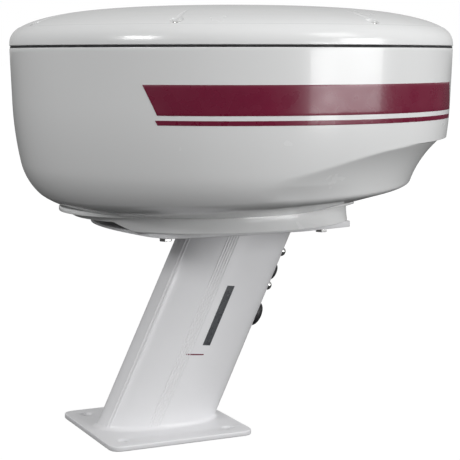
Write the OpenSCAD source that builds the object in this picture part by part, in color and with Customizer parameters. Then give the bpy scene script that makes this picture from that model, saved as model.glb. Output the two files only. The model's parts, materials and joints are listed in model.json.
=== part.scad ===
// Radar dome antenna bolted to a raked tower mount.
// Origin: middle of the base plate's underside. +X is the way the tower leans, +Z is up.

/* [Tower] */
// Side of the square base plate
base_side = 177; // [170:1:190]
// Thickness of the base plate
base_t = 6; // [5:0.5:8]
// Distance between the deck bolt holes, both ways
base_pitch = 130; // [124:1:136]
// Radius of each deck bolt hole
base_hole_r = 4.5; // [4:0.5:5.5]
// Lean of the tower from upright, in degrees
rake = 25.3; // [24:0.1:26]
// Half of the tower section's long side, square to its axis
tube_a = 67; // [64:1:70]
// Half of the tower section's short side
tube_b = 40; // [38:1:42]
// Wall of the tower extrusion
tube_wall = 4; // [3.5:0.5:5]
// Height of the top plate's upper face, where the dome sits
seat_z = 246; // [246:1:250]
// Thickness of the top plate
top_t = 7; // [6:0.5:8]

/* [Dome] */
// Radius of the dome at the seam between its halves
dome_r = 260.5; // [258:0.5:262]
// Distance of the dome's axis in front of the base plate's middle
dome_x = 99.5; // [98:0.5:101]
// Height of the seam above the deck
seam_z = 449; // [449:0.5:450]
// Rise of the cover above the seam
cover_h = 48; // [46:1:50]
// Moulded wall thickness of both halves
wall = 4; // [3.5:0.25:4.5]
// Height of the floor inside the foot
floor_z = 262.5; // [262:0.5:263]
// Distance that the scooped front's own axis lies behind the dome's axis
scoop_back = 24; // [20:1:26]
// Number of cover screws
screw_n = 7; // [7:1:7]
// Radius of the circle the cover screws stand on
screw_pcr = 240; // [238:0.5:241]

/* [Antenna drive] */
// Radius of the antenna shaft
shaft_r = 12.5; // [12.5:0.5:12.5]
// Running clearance of the shaft in its bearings
run_gap = 0.03; // [0.02:0.01:0.06]
// Teeth on the driven pulley
driven_teeth = 72; // [72:1:72]
// Teeth on the motor pulley
motor_teeth = 16; // [16:1:16]
// Belt tooth pitch
belt_pitch = 3.93; // [3.93:0.01:3.93]
// Distance from the shaft back to the motor
motor_back = 92; // [90:1:94]
// Length of the antenna array
array_w = 420; // [400:2:424]
// Height of the antenna array
array_h = 60; // [56:1:64]

/* [Hidden] */
$fn = 96;
eps = 0.02;

// Tower
plate_corner_r = 13;
csk_r = 8;
cable_hole_r = 24;
bolt_dx = 100;
bolt_dy = 70;
bolt_cx = 85;
bolt_r = 4;
// Distances along the tube's axis of the things on its front edge, from the base plate
screw_s = [202.5, 247.5];
plug_s = 164.5;
small_plug_s = 220.5;

// Foot under the dome, as ovals [middle in X, half length, half width]
skirt_low = [77.5, 164, 146];
skirt_up = [74, 162, 132];
bead = [65, 174, 130];
skirt_t = 5;
// How far the foot reaches up into the bowl's floor
foot_lap = 2.5;
skirt_front = 213;
bead_front = 222;

// Bowl side: a tapered wall, then two arcs that meet tangentially
taper = 2.07;
taper_z = 385;
arc1_r = 386;
arc1_end = 12.4;
arc2_r = 70;
arc2_end = 55;
rim_z = seam_z - 1;
// Bowl underside: a shallow cone that leans up to the front
under_z = 222;
under_slope = 0.2548;
under_tilt = 2.93;
// Scoop: a hollow arc round an axis of its own, from its foot up to its lip
scoop_r = 232.2;
scoop_z = 291.5;
scoop_arc = 120;
scoop_a0 = 18;
scoop_a1 = 44;
scoop_lip_z = 350;

cover_z = seam_z + 1.5;
cover_power = 2.75;
pocket_z = 470.5;
boss_r = 8.5;
// How far the screw bosses stop below the rim
boss_drop = 0.6;
// Coloured band on both sides of the bowl, and the label on the tube
band_top = 412;
band_a0 = 36;
band_span = 104;
film_t = 0.35;
label_u = [-2, 8];
label_s = [104, 184];
// Things that go through the casing floor, from the dome's axis
gland_x = -155;
vent_x = 50;
vent_y = 62;

// Drive train heights
chassis_z = 292;
chassis_t = 5;
chassis_r = 165;
deck_z = chassis_z + chassis_t;
chassis_fix = [118, 95];
rib_angles = [45, 90, 135, 225, 270, 315];
joint_top = 286;
guide_z = 270;
housing_top = 346;
pulley_z = 348;
pulley_h = 7;
turntable_z = 357;
turntable_t = 5;
belt_t = 1.4;
belt_gap = 0.35;
driven_r = driven_teeth * belt_pitch / (2 * PI);
motor_r = motor_teeth * belt_pitch / (2 * PI);
bearing_od = 26;
bearing_h = 15;
array_z = 425;
array_x = 34;
array_t = 12;
horn_mouth = 92;
horn_depth = 34;
array_back = array_x - array_t / 2;
frame_top = array_z + 24;
foot_of_frame = turntable_z + turntable_t;
motor_screw_at = 23;
// Circuit boards: middle, size and height
board_z = 306;
board_t = 1.6;
power_z = 281;
processor_at = [-30, 102];
modulator_at = [-30, -102];
power_at = [-100, 0];
board_size = [116, 66];
power_size = [60, 96];
magnetron_at = [80, -80];

// ---------- shared shapes ----------

// Points round an oval with semi-axes a and b, its middle at x = cx
function oval(cx, a, b, n = 96) = [for (i = [0:n - 1]) [cx + a * cos(360 * i / n), b * sin(360 * i / n)]];

// Points along an arc that starts at p heading a0 from straight down and turns in to a1
function turn_in(p, r, a0, a1, n) =
  [for (i = [1:n]) let (a = a0 + (a1 - a0) * i / n)
    [p[0] - r * (cos(a0) - cos(a)), p[1] - r * (sin(a) - sin(a0))]];

// Points along an arc that starts at p heading a0 from straight up and turns out to a1
function turn_out(p, r, a0, a1, n) =
  [for (i = [0:n]) let (a = a0 + (a1 - a0) * i / n)
    [p[0] + r * (cos(a0) - cos(a)), p[1] + r * (sin(a) - sin(a0))]];

// Radius of the cover's outside as a fraction of its rim, at a fraction h of its rise
function dome_out(h) = pow(1 - pow(h, cover_power), 1 / cover_power);

module at_dome() translate([dome_x, 0, 0]) children();

module disc(r, z1, z2) translate([0, 0, z1]) cylinder(r = r, h = z2 - z1);

module ring(r1, r2, z1, z2) difference() {
  disc(r2, z1, z2);
  disc(r1, z1 - 1, z2 + 1);
}

module box(lo, hi) translate(lo) cube(hi - lo);

module slab(points, z1, z2) translate([0, 0, z1]) linear_extrude(z2 - z1) polygon(points);

module round_rect(w, d, r) {
  square([w - 2 * r, d], center = true);
  square([w, d - 2 * r], center = true);
  for (sx = [-1, 1], sy = [-1, 1]) translate([sx * (w / 2 - r), sy * (d / 2 - r)]) circle(r);
}

module at_corners(dx, dy) for (sx = [-1, 1], sy = [-1, 1]) translate([sx * dx, sy * dy, 0]) children();

module at_cover_screws() at_dome()
  for (i = [0:screw_n - 1]) rotate(180 + 360 * i / screw_n) translate([screw_pcr, 0, 0]) children();

// Places something on the tube's front edge, its +Z pointing out of the edge
module on_front_edge(s) translate([0, 0, base_t]) rotate([0, rake, 0])
  translate([tube_a, 0, s]) rotate([0, 90, 0]) children();

// ---------- tower ----------

module base_plate() color("gainsboro") difference() {
  linear_extrude(base_t) round_rect(base_side, base_side, plate_corner_r);
  at_corners(base_pitch / 2, base_pitch / 2) {
    disc(base_hole_r, -1, base_t + 1);
    translate([0, 0, base_t - 2.5]) cylinder(r1 = base_hole_r, r2 = csk_r, h = 2.5 + eps);
  }
  disc(cable_hole_r, -1, base_t + 1);
}

module tube_core(a, b) translate([0, 0, base_t]) rotate([0, rake, 0])
  translate([0, 0, -60]) linear_extrude(400) polygon(oval(0, a, b));

module tower_tube() color("gainsboro") difference() {
  intersection() {
    tube_core(tube_a, tube_b);
    box([-120, -80, base_t], [240, 80, seat_z - top_t]);
  }
  tube_core(tube_a - tube_wall, tube_b - tube_wall);
  for (s = screw_s) on_front_edge(s) translate([0, 0, -12]) cylinder(r = 4.5, h = 30);
  on_front_edge(small_plug_s) translate([0, 0, -12]) cylinder(r = 7, h = 30);
  on_front_edge(plug_s) translate([0, 0, -12]) cylinder(r = 10, h = 30);
}

// A wide arc at the back, then sides that draw in to a straight front edge
top_arc = asin(95 / 216);
top_outline = concat(
  [for (i = [0:32]) let (a = 180 - top_arc + 2 * top_arc * i / 32) [150 + 216 * cos(a), 216 * sin(a)]],
  [[-20, -106], [10, -111], [66, -113], [140, -110], [212, -93]],
  [[212, 93], [140, 110], [66, 113], [10, 111], [-20, 106]]
);

module top_plate() color("gainsboro") difference() {
  slab(top_outline, seat_z - top_t, seat_z);
  translate([bolt_cx, 0, 0]) at_corners(bolt_dx, bolt_dy) disc(bolt_r + 0.5, seat_z - top_t - 1, seat_z + 1);
  translate([110, 0, 0]) disc(cable_hole_r, seat_z - top_t - 1, seat_z + 1);
  // The underside rises to a thinner edge at the back
  translate([0, 150, 0]) rotate([90, 0, 0]) linear_extrude(300)
    polygon([[-28, seat_z - top_t], [-80, seat_z - top_t + 5.5], [-80, seat_z - top_t - 5], [-28, seat_z - top_t - 5]]);
}

module rivet_nuts() color("silver") for (s = screw_s) on_front_edge(s) difference() {
  translate([0, 0, -10]) cylinder(r = 4.45, h = 10);
  translate([0, 0, -11]) cylinder(r = 3.05, h = 20);
}

module front_screws() color("silver") for (s = screw_s) on_front_edge(s) {
  translate([0, 0, -8]) cylinder(r = 3, h = 8 + eps);
  difference() {
    intersection() {
      translate([0, 0, 0.2]) sphere(r = 6.3);
      cylinder(r = 5.5, h = 7);
    }
    translate([0, 0, 4.6]) cylinder(r = 2, h = 5, $fn = 6);
  }
}

module plug_shape(hole_r, head_r, head_h) {
  translate([0, 0, -8]) cylinder(r = hole_r - 0.1, h = 8 + eps);
  rotate_extrude() polygon(concat([[0, 0]],
    [for (i = [0:12]) let (a = 90 * i / 12) [head_r * cos(a), head_h * sin(a)]]));
}

module small_plug() color("dimgray") on_front_edge(small_plug_s) plug_shape(7, 10.5, 4.4);

module cable_plug() color("dimgray") on_front_edge(plug_s) plug_shape(10, 15, 6.5);

// A strip of film bent over the tube's near side
module tube_label() color("dimgray") difference() {
  intersection() {
    tube_core(tube_a + film_t, tube_b + film_t);
    translate([0, 0, base_t]) rotate([0, rake, 0])
      box([label_u[0], -tube_b - 5, label_s[0]], [label_u[1], 0, label_s[1]]);
  }
  tube_core(tube_a, tube_b);
}

module at_mounting_bolts() translate([bolt_cx, 0, 0]) at_corners(bolt_dx, bolt_dy) children();

module mounting_bolts() color("silver") at_mounting_bolts() {
  disc(bolt_r - 0.05, seat_z - top_t - 2, seat_z + 14);
  translate([0, 0, seat_z - top_t - 7]) cylinder(r = 7.5, h = 5.3, $fn = 6);
}

module bolt_washers() color("silver") at_mounting_bolts()
  ring(bolt_r + 0.25, 8.5, seat_z - top_t - 1.6, seat_z - top_t);

module foot_inserts() color("goldenrod") at_mounting_bolts()
  ring(bolt_r + 0.05, 6.4, seat_z + 0.3, seat_z + 15.5);

// ---------- lower casing ----------

// A point of the bowl's tapered wall at height z, moved in by inset
function side_at(z, inset) = [dome_r - inset - (rim_z - z) * tan(taper), z];

// The first arc below the tapered wall
function side_bend(inset) = turn_in(side_at(taper_z, inset), arc1_r - inset, taper, arc1_end, 8);

// Outline of the bowl's side, moved in by inset
function side_points(inset) =
  let (
    bend1 = side_bend(inset),
    bend2 = turn_in(bend1[7], arc2_r - inset, arc1_end, arc2_end, 8),
    p2 = bend2[7]
  )
  concat([[0, rim_z + inset], [dome_r - inset, rim_z + inset], side_at(rim_z, inset), side_at(taper_z, inset)],
    bend1, bend2,
    [[p2[0] - 60 * sin(arc2_end), p2[1] - 60 * cos(arc2_end)], [0, p2[1] - 60 * cos(arc2_end)]]);

// Everything that lies above the leaning cone and the level floor
module above_underside(inset) intersection() {
  translate([0, 0, under_z]) rotate([0, -under_tilt, 0])
    rotate_extrude($fn = 144) polygon([[0, inset], [330, inset + 330 * under_slope], [330, 330], [0, 330]]);
  box([-300, -300, floor_z + inset], [300, 300, 520]);
}

// The hollow that the scoop takes out of the front, its surface moved in by inset
module scoop(inset) {
  foot = [scoop_r - inset * cos(scoop_a0), scoop_z + inset * sin(scoop_a0)];
  wall_pts = turn_out(foot, scoop_arc + inset, scoop_a0, scoop_a1, 8);
  last = wall_pts[8];
  lip_z = scoop_lip_z + inset;
  lip_r = last[0] + (lip_z - last[1]) * tan(scoop_a1);
  translate([-scoop_back, 0, 0]) rotate_extrude($fn = 144) polygon(concat(
    [[foot[0] - 60 * tan(scoop_a0), foot[1] - 60]], wall_pts,
    [[lip_r, lip_z], [340, lip_z], [340, foot[1] - 60]]));
}

module bowl_form(inset) at_dome() difference() {
  intersection() {
    rotate_extrude($fn = 144) polygon(side_points(inset));
    above_underside(inset);
  }
  scoop(inset);
}

// A strip of the foot: an oval cut off square at the front
module foot_slab(shape, front, grow, z1, z2) intersection() {
  slab(oval(shape[0], shape[1] + grow, shape[2] + grow), z1, z2);
  box([-200, -200, z1 - 1], [front + grow, 200, z2 + 1]);
}

module foot() difference() {
  union() {
    foot_slab(skirt_low, skirt_front, 0, seat_z, seat_z + 7);
    foot_slab(skirt_up, skirt_front, 0, seat_z + 7 - eps, floor_z + foot_lap);
    foot_slab(bead, bead_front, 0, floor_z - 3.5, floor_z + foot_lap);
  }
  foot_slab(skirt_up, skirt_front, -skirt_t, seat_z - 1, floor_z);
  // Cable way through the back of the skirt
  translate([-110, 0, 0]) rotate([90, 0, 90]) linear_extrude(80)
    polygon([[-83, seat_z - 1], [83, seat_z - 1], [68, seat_z + 10], [-68, seat_z + 10]]);
}

module casing_bosses() {
  at_mounting_bolts() disc(11, seat_z, floor_z + wall);
  at_dome() intersection() {
    at_corners(chassis_fix[0], chassis_fix[1]) disc(9, floor_z, chassis_z);
    above_underside(1);
  }
  at_cover_screws() {
    disc(boss_r, rim_z - 32, rim_z - boss_drop);
    box([0, -2.5, rim_z - 26], [17, 2.5, rim_z - 4]);
  }
  at_dome() ring(247, dome_r - 1, rim_z - 8, rim_z);
}

module lower_casing() color("whitesmoke") difference() {
  union() {
    difference() {
      union() {
        bowl_form(0);
        foot();
      }
      bowl_form(wall);
    }
    casing_bosses();
  }
  at_mounting_bolts() disc(6.42, seat_z - 1, seat_z + 16);
  at_dome() at_corners(chassis_fix[0], chassis_fix[1]) disc(2.6, chassis_z - 18, chassis_z + 1);
  at_cover_screws() disc(5, rim_z - 24, rim_z + 1);
  at_dome() {
    translate([gland_x, 0, 0]) disc(10, floor_z - 5, floor_z + 9);
    translate([vent_x, vent_y, 0]) disc(6, floor_z - 5, floor_z + 9);
  }
}

// A thin band of coloured film on both sides of the bowl
module side_band() color("firebrick") at_dome() for (a = [band_a0, -band_a0 - band_span])
  rotate(a) rotate_extrude(angle = band_span, $fn = 144) polygon([
    side_at(band_top, 0), side_at(taper_z, 0), side_bend(0)[0], side_bend(0)[1],
    side_bend(-film_t)[1], side_bend(-film_t)[0], side_at(taper_z, -film_t), side_at(band_top, -film_t)]);

module casing_seal() color("dimgray") at_dome() ring(250.5, dome_r - 0.7, rim_z, rim_z + 2.2);

// ---------- cover ----------

module dome_solid(r, h, z) translate([0, 0, z]) rotate_extrude($fn = 144) polygon(concat(
  [[0, 0]],
  [for (i = [0:30]) let (f = sin(90 * i / 30)) [r * dome_out(f), h * f]]));

module cover() color("whitesmoke") difference() {
  union() {
    at_dome() difference() {
      dome_solid(dome_r, cover_h - 1.5, cover_z);
      dome_solid(dome_r - wall, cover_h - 1.5 - wall, cover_z - eps);
    }
    at_dome() ring(247, dome_r - 1, cover_z, cover_z + 4);
    intersection() {
      at_cover_screws() disc(boss_r, cover_z, pocket_z + 3);
      at_dome() dome_solid(dome_r, cover_h - 1.5, cover_z);
    }
  }
  at_cover_screws() {
    disc(3.4, cover_z - 1, pocket_z + 1);
    disc(6.5, pocket_z, pocket_z + 20);
  }
}

module cover_screws() color("silver") at_cover_screws() {
  disc(3, rim_z - 20, pocket_z + eps);
  difference() {
    disc(5.2, pocket_z, pocket_z + 3.4);
    translate([0, 0, pocket_z + 1.6]) cylinder(r = 2.6, h = 3, $fn = 6);
  }
}

module cover_inserts() color("goldenrod") at_cover_screws() ring(3.35, 4.98, rim_z - 22, rim_z - boss_drop - 0.4);

module cable_gland() color("dimgray") at_dome() translate([gland_x, 0, 0]) difference() {
  union() {
    disc(9.95, floor_z - 6, floor_z + 20);
    translate([0, 0, floor_z - 10]) cylinder(r = 14, h = 10, $fn = 6);
  }
  disc(4, floor_z - 12, floor_z + 22);
}

module gland_nut() color("dimgray") at_dome() translate([gland_x, 0, 0]) difference() {
  translate([0, 0, floor_z + wall]) cylinder(r = 15, h = 5, $fn = 6);
  disc(9.98, floor_z, floor_z + 20);
}

module breather_vent() color("black") at_dome() translate([vent_x, vent_y, 0]) {
  disc(5.95, floor_z - eps, floor_z + wall);
  disc(8.5, floor_z - 3, floor_z);
}

// ---------- chassis and electronics ----------

module chassis() color("silver") at_dome() difference() {
  union() {
    disc(chassis_r, chassis_z, deck_z);
    ring(chassis_r - 4, chassis_r, chassis_z - 6, deck_z);
    for (a = rib_angles) rotate(a) box([60, -2, chassis_z - 6], [chassis_r - 2, 2, chassis_z + 1]);
  }
  disc(20, chassis_z - 8, deck_z + 1);
  at_corners(chassis_fix[0], chassis_fix[1]) disc(2.8, chassis_z - 8, deck_z + 1);
  // Waveguide slot, relieved through the ribs below
  box([64, -8.5, chassis_z - 8], [94, 8.5, deck_z + 1]);
  for (a = [90, 270]) rotate(a) translate([130, 0, 0]) disc(9, chassis_z - 8, deck_z + 1);
}

module chassis_screws() color("silver") at_dome() at_corners(chassis_fix[0], chassis_fix[1]) {
  disc(2.5, chassis_z - 15, deck_z + eps);
  disc(4.6, deck_z, deck_z + 3);
}

module bearing_housing() color("silver") at_dome() difference() {
  union() {
    disc(44, deck_z, deck_z + 5);
    disc(32, deck_z, housing_top);
    for (a = [45:90:315]) rotate(a) box([26, -2, deck_z], [42, 2, deck_z + 22]);
  }
  disc(bearing_od + 0.02, deck_z + 3, housing_top + 1);
  disc(20, deck_z - 1, deck_z + 4);
  for (a = [0:90:270]) rotate(a) translate([38.5, 0, 0]) disc(2.2, deck_z - 1, deck_z + 6);
}

module housing_screws() color("silver") at_dome() for (a = [0:90:270]) rotate(a) translate([38.5, 0, 0])
  disc(3.6, deck_z + 5, deck_z + 7.8);

// A sealed ball bearing, drawn as one ring with its two shield grooves
module bearing(z) color("lightsteelblue") at_dome() difference() {
  ring(shaft_r + run_gap, bearing_od, z, z + bearing_h);
  for (zz = [z - 1, z + bearing_h - 0.8]) ring(16.2, 22.4, zz, zz + 1.8);
}

module lower_bearing() bearing(deck_z + 3);

module upper_bearing() bearing(housing_top - 3 - bearing_h);

module bearing_spacer() color("silver") at_dome()
  ring(22.5, bearing_od - 0.1, deck_z + 3 + bearing_h, housing_top - 3 - bearing_h);

module bearing_circlip() color("dimgray") at_dome() difference() {
  ring(22.6, bearing_od - 0.05, housing_top - 3, housing_top - 1.5);
  box([0, -4, housing_top - 4], [40, 4, housing_top]);
}

module rotary_joint() color("goldenrod") at_dome() {
  disc(14, guide_z + 10, joint_top);
  ring(3, 5.5, joint_top - eps, joint_top + 8);
}

// Flat waveguide under the chassis, then up through its slot
module waveguide_run() color("goldenrod") at_dome() difference() {
  union() {
    box([-16, -13, guide_z], [92, 13, guide_z + 10]);
    box([66, -8, guide_z + 10 - eps], [92, 8, deck_z]);
  }
  box([69, -6, guide_z + 2], [89, 6, deck_z + 1]);
}

module circulator() color("darkgray") at_dome() {
  box([62, -18, deck_z], [98, 18, deck_z + 6]);
  box([64, -16, deck_z + 6 - eps], [96, 16, deck_z + 18]);
  translate([80, 0, 0]) disc(11, deck_z + 18 - eps, deck_z + 24);
}

module magnetron() color("darkgray") at_dome() translate(magnetron_at) {
  disc(15, deck_z + 4, deck_z + 40);
  for (z = [deck_z + 10:6:deck_z + 34]) disc(19, z, z + 1.6);
}

// A C-shaped magnet whose poles grip the magnetron from above and below
module magnetron_magnet() color("slategray") at_dome() translate(magnetron_at) {
  box([-20, -38, deck_z], [20, -24, deck_z + 48]);
  box([-20, -38, deck_z], [20, 19, deck_z + 4]);
  box([-20, -38, deck_z + 40], [20, 19, deck_z + 48]);
}

module launch_guide() color("goldenrod") at_dome() box([70, -61, deck_z + 8], [90, -16, deck_z + 17]);

module receiver_module() color("silver") at_dome() {
  box([45, 38, deck_z], [110, 88, deck_z + 20]);
  for (x = [50, 105], y = [43, 83]) translate([x, y, 0]) disc(3.5, deck_z + 20 - eps, deck_z + 21);
}

module receiver_guide() color("goldenrod") at_dome() box([70, 16, deck_z + 7], [90, 38, deck_z + 16]);

module screening_can() color("lightgray") at_dome() difference() {
  box([56, 47, deck_z + 20], [100, 79, deck_z + 30]);
  box([57, 48, deck_z + 19], [99, 78, deck_z + 29]);
  for (x = [62:8:94], y = [55:8:71]) translate([x, y, 0]) disc(1.5, deck_z + 28, deck_z + 31);
}

module board(at, size, z) translate([at[0], at[1], z]) difference() {
  translate([-size[0] / 2, -size[1] / 2, 0]) cube([size[0], size[1], board_t]);
  at_corners(size[0] / 2 - 6, size[1] / 2 - 6) disc(1.7, -1, board_t + 1);
}

module chip(at, size, z) translate([at[0] - size[0] / 2, at[1] - size[1] / 2, z]) cube(size);

module modulator_board() color("darkgreen") at_dome() {
  board(modulator_at, board_size, board_z);
  for (i = [0:3]) translate([-70 + 15 * i, -120, 0]) disc(5, board_z + board_t - eps, board_z + 20);
  chip([-70, -88], [22, 16, 12], board_z + board_t - eps);
}

module pulse_transformer() color("peru") at_dome() translate([-2, -96, 0]) {
  box([-17, -14, board_z + board_t], [17, 14, board_z + board_t + 4]);
  box([-13, -14, board_z + board_t + 4 - eps], [13, 14, board_z + 26]);
  box([-17, -9, board_z + 26 - eps], [17, 9, board_z + 30]);
}

module processor_board() color("darkgreen") at_dome() {
  board(processor_at, board_size, board_z);
  chip([-42, 104], [24, 24, 2.4], board_z + board_t - eps);
  chip([-8, 112], [14, 20, 2], board_z + board_t - eps);
  chip([-8, 88], [14, 10, 2], board_z + board_t - eps);
  for (i = [0:4]) chip([-62, 84 + 9 * i], [6, 5, 1.5], board_z + board_t - eps);
}

module power_board() color("darkgreen") at_dome() {
  board(power_at, power_size, power_z);
  for (y = [-30, -10]) translate([-112, y, 0]) disc(6, power_z - 10, power_z + eps);
  chip([-88, 22], [20, 26, 7], power_z - 7 + eps);
}

module board_pillars() color("goldenrod") at_dome() {
  for (p = [processor_at, modulator_at]) translate([p[0], p[1], 0])
    at_corners(board_size[0] / 2 - 6, board_size[1] / 2 - 6) {
      disc(2.8, deck_z, board_z);
      disc(1.6, board_z - eps, board_z + board_t);
      disc(2.6, board_z + board_t - eps, board_z + board_t + 1.8);
    }
  translate([power_at[0], power_at[1], 0]) at_corners(power_size[0] / 2 - 6, power_size[1] / 2 - 6) {
    disc(2.8, power_z + board_t, chassis_z);
    disc(1.6, power_z - eps, power_z + board_t + eps);
    disc(2.6, power_z - 1.8, power_z);
  }
}

module connector_block() color("ivory") at_dome() difference() {
  box([-84, 86, board_z + board_t], [-74, 116, board_z + board_t + 12]);
  box([-85, 88, board_z + board_t + 2], [-76, 114, board_z + board_t + 10]);
}

module heading_sensor() color("black") at_dome() {
  box([46, -34, deck_z], [56, -24, pulley_z - 6]);
  box([26, -34, pulley_z - 9], [46 + eps, -24, pulley_z - 5]);
}

// ---------- drive ----------

// A pulley outline with shallow teeth
function toothed(r, n) = [for (i = [0:4 * n - 1]) let (d = (i % 4 < 2) ? 0 : -0.8)
  [(r + d) * cos(90 * i / n), (r + d) * sin(90 * i / n)]];

// A belt line round two pulleys: the big one at the origin, the small one at -X
function belt_line(big, small, reach, n = 48) =
  let (lean = acos((big - small) / reach))
  concat(
    [for (i = [0:n]) let (a = -(180 - lean) + 2 * (180 - lean) * i / n) [big * cos(a), big * sin(a)]],
    [for (i = [0:n / 2]) let (a = (180 - lean) + 2 * lean * i / (n / 2))
      [-reach + small * cos(a), small * sin(a)]]);

module drive_motor() color("dimgray") at_dome() translate([-motor_back, 0, 0]) difference() {
  union() {
    translate([0, 0, deck_z + 5]) linear_extrude(31) round_rect(54, 54, 8);
    translate([0, 0, deck_z]) linear_extrude(5.01) round_rect(56, 56, 5);
    translate([0, 0, deck_z + 36 - eps]) linear_extrude(5) round_rect(56, 56, 5);
    disc(15, deck_z + 41 - eps, deck_z + 43);
  }
  disc(4.2, deck_z + 10, deck_z + 50);
  at_corners(motor_screw_at, motor_screw_at) disc(2.4, deck_z + 35, deck_z + 44);
}

module motor_screws() color("silver") at_dome() translate([-motor_back, 0, 0])
  at_corners(motor_screw_at, motor_screw_at) {
  disc(2.3, deck_z + 36, deck_z + 41 + eps);
  disc(3.8, deck_z + 41, deck_z + 44);
}

module motor_shaft() color("silver") at_dome() translate([-motor_back, 0, 0])
  disc(4.15, deck_z + 10.5, pulley_z + pulley_h + 1.5);

module pulley(r, teeth, bore, flange) difference() {
  union() {
    slab(toothed(r, teeth), pulley_z, pulley_z + pulley_h);
    disc(r + flange, pulley_z - 1, pulley_z + eps);
    disc(r + flange, pulley_z + pulley_h - eps, pulley_z + pulley_h + 1);
  }
  disc(bore, pulley_z - 5, pulley_z + pulley_h + 5);
}

module motor_pulley() color("silver") at_dome() translate([-motor_back, 0, 0])
  pulley(motor_r, motor_teeth, 4.17, 2.6);

module driven_pulley() color("whitesmoke") at_dome() difference() {
  pulley(driven_r, driven_teeth, shaft_r + 0.02, 2.6);
  for (a = [0:60:300]) rotate(a) translate([29, 0, 0]) disc(9, pulley_z - 5, pulley_z + pulley_h + 5);
}

module drive_belt() color("black") at_dome() translate([0, 0, pulley_z + 0.6]) linear_extrude(pulley_h - 1.2)
  difference() {
    polygon(belt_line(driven_r + belt_gap + belt_t, motor_r + belt_gap + belt_t, motor_back));
    polygon(belt_line(driven_r + belt_gap, motor_r + belt_gap, motor_back));
  }

module antenna_shaft() color("silver") at_dome() difference() {
  union() {
    disc(shaft_r, joint_top + 1, foot_of_frame + 6);
    ring(shaft_r - 1, 16, turntable_z - 1, turntable_z);
  }
  disc(7, joint_top, foot_of_frame + 7);
}

module turntable() color("silver") at_dome() difference() {
  union() {
    disc(46, turntable_z, foot_of_frame);
    disc(18, turntable_z, foot_of_frame + 5);
  }
  disc(shaft_r + 0.02, turntable_z - 1, foot_of_frame + 6);
}

module sensor_magnet() color("darkgray") at_dome() rotate(30) translate([40, 0, 0])
  disc(2.5, pulley_z - 3, pulley_z - 1);

// ---------- antenna ----------

module antenna_frame() color("silver") at_dome() difference() {
  union() {
    box([-40, -34, foot_of_frame], [array_back, -19, foot_of_frame + 3]);
    box([-40, 19, foot_of_frame], [array_back, 34, foot_of_frame + 3]);
    box([array_back - 3, -34, foot_of_frame], [array_back, 34, frame_top]);
    // Side gussets
    for (y = [-34, 31]) translate([0, y + 3, 0]) rotate([90, 0, 0]) linear_extrude(3)
      polygon([[-36, foot_of_frame + 2], [array_back - 2, foot_of_frame + 2],
        [array_back - 2, frame_top - 4], [array_back - 12, frame_top - 4]]);
  }
  // Waveguide opening behind the array
  box([array_back - 4, -8, array_z - 10], [array_back + 1, 8, array_z + 6]);
}

module antenna_array() color("ivory") at_dome() difference() {
  translate([array_back, -array_w / 2, array_z - array_h / 2]) cube([array_t, array_w, array_h]);
  // Shallow slots of the radiating face
  for (i = [-15:15]) translate([array_back + array_t, i * 13, array_z + (i % 2 == 0 ? 9 : -9)])
    box([-1, -1.5, -11], [1, 1.5, 11]);
}

// Two plates that flare apart ahead of the array
module horn_plates() color("silver") at_dome() for (s = [-1, 1])
  translate([array_back, array_w / 2 - 2, array_z]) rotate([90, 0, 0]) linear_extrude(array_w - 4)
    polygon([
      [2, s * array_h / 2],
      [array_t, s * array_h / 2],
      [array_t + horn_depth, s * horn_mouth / 2],
      [array_t + horn_depth, s * (horn_mouth / 2 + 1.6)],
      [array_t, s * (array_h / 2 + 1.8)],
      [2, s * (array_h / 2 + 1.8)]
    ]);

module feed_block() color("goldenrod") at_dome()
  box([array_back - 17, -11, array_z - 14], [array_back - 3, 11, array_z + 10]);

// Waveguide tube from the hollow shaft up to the feed block
module feed_tube() color("goldenrod") at_dome() {
  disc(5, foot_of_frame + 6, array_z - 6);
  disc(8, foot_of_frame + 6, foot_of_frame + 11);
  box([0, -4, array_z - 14], [array_back - 17, 4, array_z - 6]);
}

module antenna_screws() color("silver") at_dome() {
  for (y = [-26.5, 26.5], x = [-28, 0]) translate([x, y, 0])
    disc(3.4, foot_of_frame + 3, foot_of_frame + 5.6);
  for (y = [-24, 24], z = [array_z - 18, array_z + 16]) translate([array_back - 3, y, z])
    rotate([0, -90, 0]) cylinder(r = 3.4, h = 2.6);
}

// ---------- one line per sub-part ----------

base_plate();
tower_tube();
top_plate();
rivet_nuts();
front_screws();
small_plug();
cable_plug();
tube_label();
mounting_bolts();
bolt_washers();
foot_inserts();
lower_casing();
side_band();
casing_seal();
cover();
cover_screws();
cover_inserts();
cable_gland();
gland_nut();
breather_vent();
chassis();
chassis_screws();
bearing_housing();
housing_screws();
lower_bearing();
upper_bearing();
bearing_spacer();
bearing_circlip();
rotary_joint();
waveguide_run();
circulator();
magnetron();
magnetron_magnet();
launch_guide();
receiver_module();
receiver_guide();
screening_can();
modulator_board();
pulse_transformer();
processor_board();
power_board();
board_pillars();
connector_block();
heading_sensor();
drive_motor();
motor_screws();
motor_shaft();
motor_pulley();
drive_belt();
antenna_shaft();
driven_pulley();
turntable();
sensor_magnet();
antenna_frame();
antenna_array();
horn_plates();
feed_block();
feed_tube();
antenna_screws();
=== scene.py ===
import json
import math

import bmesh
import bpy
import numpy as np
from bpy.props import FloatProperty, FloatVectorProperty, IntProperty, PointerProperty
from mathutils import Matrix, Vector
from mathutils.geometry import tessellate_polygon


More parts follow.
